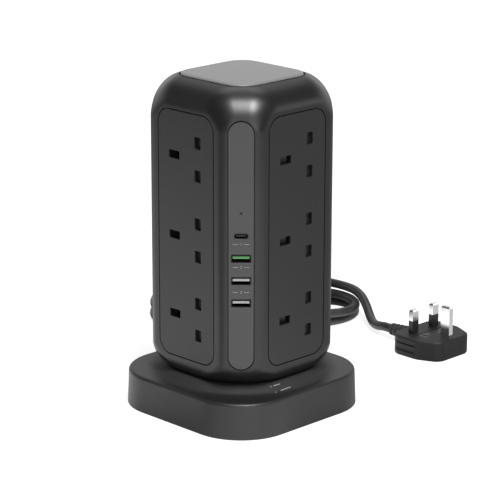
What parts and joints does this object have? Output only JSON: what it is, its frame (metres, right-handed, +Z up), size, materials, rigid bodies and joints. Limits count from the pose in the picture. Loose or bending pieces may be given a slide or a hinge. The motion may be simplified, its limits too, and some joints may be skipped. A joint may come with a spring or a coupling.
{
  "type": "tower power strip",
  "caption": "Tower power strip with shuttered three-pin sockets on its sides, a corner strip of charging ports, a rocker switch, a weighted base and a coiled mains lead with a moulded plug",
  "frame": {"origin": "on the floor under the middle of the base, on the axis of the tower", "axes": "+Z up along the tower; the side on the left of the picture faces -Y and the side on its right faces +X; the charging strip is on the corner between them"},
  "size_m": [0.2688, 0.2748, 0.2308],
  "materials": {
    "tower_shell": "fine satin grain",
    "face_plate": "fine satin grain",
    "strip": "satin",
    "cap": "smooth matte",
    "base": "fine satin grain",
    "inner_plastic": "plain moulding",
    "shutter": "smooth",
    "brass": "stamped",
    "steel": "plain",
    "nickel": "polished",
    "board": "lacquered",
    "disc": "dipped",
    "green": "smooth",
    "pale": "smooth",
    "lamp": "clear moulding",
    "rocker": "satin",
    "rubber": "matte",
    "cord": "matte",
    "copper_core": "insulated core"
  },
  "bodies": {
    "base": {"tower_shell": "tower_shell", "top_cap": "cap", "face_plate_front": "face_plate", "face_plate_right": "face_plate", "face_plate_back": "face_plate", "face_plate_left": "face_plate", "carrier_front": "inner_plastic", "carrier_right": "inner_plastic", "carrier_back": "inner_plastic", "carrier_left": "inner_plastic", "shutter_springs": "steel", "earth_contacts": "brass", "line_contacts": "brass", "neutral_contacts": "brass", "centre_frame": "inner_plastic", "surge_board": "board", "surge_discs": "disc", "terminal_block": "inner_plastic", "charging_strip": "strip", "usb_board": "board", "usb_c_port": "nickel", "usb_c_tongue": "shutter", "usb_a_ports": "nickel", "usb_tongue_green": "green", "usb_tongues_pale": "pale", "status_lamp": "lamp", "switch_housing": "rocker", "switch_blades": "brass", "tower_floor": "base", "tower_screws": "steel", "neck_tube": "base", "base_housing": "base", "base_cover": "base", "ballast_plate": "steel", "rubber_feet": "rubber", "base_screws": "steel", "lamp_board": "board", "base_lamps": "lamp", "inner_leads": "copper_core", "cord_gland": "rubber", "cord_lead_in": "cord", "cord_coil": "cord", "cord_lead_out": "cord", "plug_boot": "rubber", "plug_body": "rubber", "plug_pins": "nickel", "pin_sleeves": "shutter", "fuse_carrier": "rocker"},
    "shutter_front_low": {"shutter_front_low": "shutter"},
    "shutter_front_mid": {"shutter_front_mid": "shutter"},
    "shutter_front_top": {"shutter_front_top": "shutter"},
    "shutter_right_low": {"shutter_right_low": "shutter"},
    "shutter_right_mid": {"shutter_right_mid": "shutter"},
    "shutter_right_top": {"shutter_right_top": "shutter"},
    "shutter_back_low": {"shutter_back_low": "shutter"},
    "shutter_back_mid": {"shutter_back_mid": "shutter"},
    "shutter_back_top": {"shutter_back_top": "shutter"},
    "shutter_left_mid": {"shutter_left_mid": "shutter"},
    "shutter_left_top": {"shutter_left_top": "shutter"},
    "switch_rocker": {"switch_rocker": "rocker"}
  },
  "joints": [
    {"name": "shutter_front_low_slide", "type": "slide", "parent": "base", "child": "shutter_front_low", "axis": [1, 0, 0], "range_m": [0, 0.0068], "stiffness_N_per_m": 60, "springref_m": -0.001},
    {"name": "shutter_front_mid_slide", "type": "slide", "parent": "base", "child": "shutter_front_mid", "axis": [1, 0, 0], "range_m": [0, 0.0068], "stiffness_N_per_m": 60, "springref_m": -0.001},
    {"name": "shutter_front_top_slide", "type": "slide", "parent": "base", "child": "shutter_front_top", "axis": [1, 0, 0], "range_m": [0, 0.0068], "stiffness_N_per_m": 60, "springref_m": -0.001},
    {"name": "shutter_right_low_slide", "type": "slide", "parent": "base", "child": "shutter_right_low", "axis": [0, 1, 0], "range_m": [0, 0.0068], "stiffness_N_per_m": 60, "springref_m": -0.001},
    {"name": "shutter_right_mid_slide", "type": "slide", "parent": "base", "child": "shutter_right_mid", "axis": [0, 1, 0], "range_m": [0, 0.0068], "stiffness_N_per_m": 60, "springref_m": -0.001},
    {"name": "shutter_right_top_slide", "type": "slide", "parent": "base", "child": "shutter_right_top", "axis": [0, 1, 0], "range_m": [0, 0.0068], "stiffness_N_per_m": 60, "springref_m": -0.001},
    {"name": "shutter_back_low_slide", "type": "slide", "parent": "base", "child": "shutter_back_low", "axis": [-1, 0, 0], "range_m": [0, 0.0068], "stiffness_N_per_m": 60, "springref_m": -0.001},
    {"name": "shutter_back_mid_slide", "type": "slide", "parent": "base", "child": "shutter_back_mid", "axis": [-1, 0, 0], "range_m": [0, 0.0068], "stiffness_N_per_m": 60, "springref_m": -0.001},
    {"name": "shutter_back_top_slide", "type": "slide", "parent": "base", "child": "shutter_back_top", "axis": [-1, 0, 0], "range_m": [0, 0.0068], "stiffness_N_per_m": 60, "springref_m": -0.001},
    {"name": "shutter_left_mid_slide", "type": "slide", "parent": "base", "child": "shutter_left_mid", "axis": [0, -1, 0], "range_m": [0, 0.0068], "stiffness_N_per_m": 60, "springref_m": -0.001},
    {"name": "shutter_left_top_slide", "type": "slide", "parent": "base", "child": "shutter_left_top", "axis": [0, -1, 0], "range_m": [0, 0.0068], "stiffness_N_per_m": 60, "springref_m": -0.001},
    {"name": "rocker_tilt", "type": "hinge", "parent": "base", "child": "switch_rocker", "pos_m": [-0.0495, 0, 0.0723], "axis": [0, 1, 0], "range_deg": [0, 18]}
  ]
}
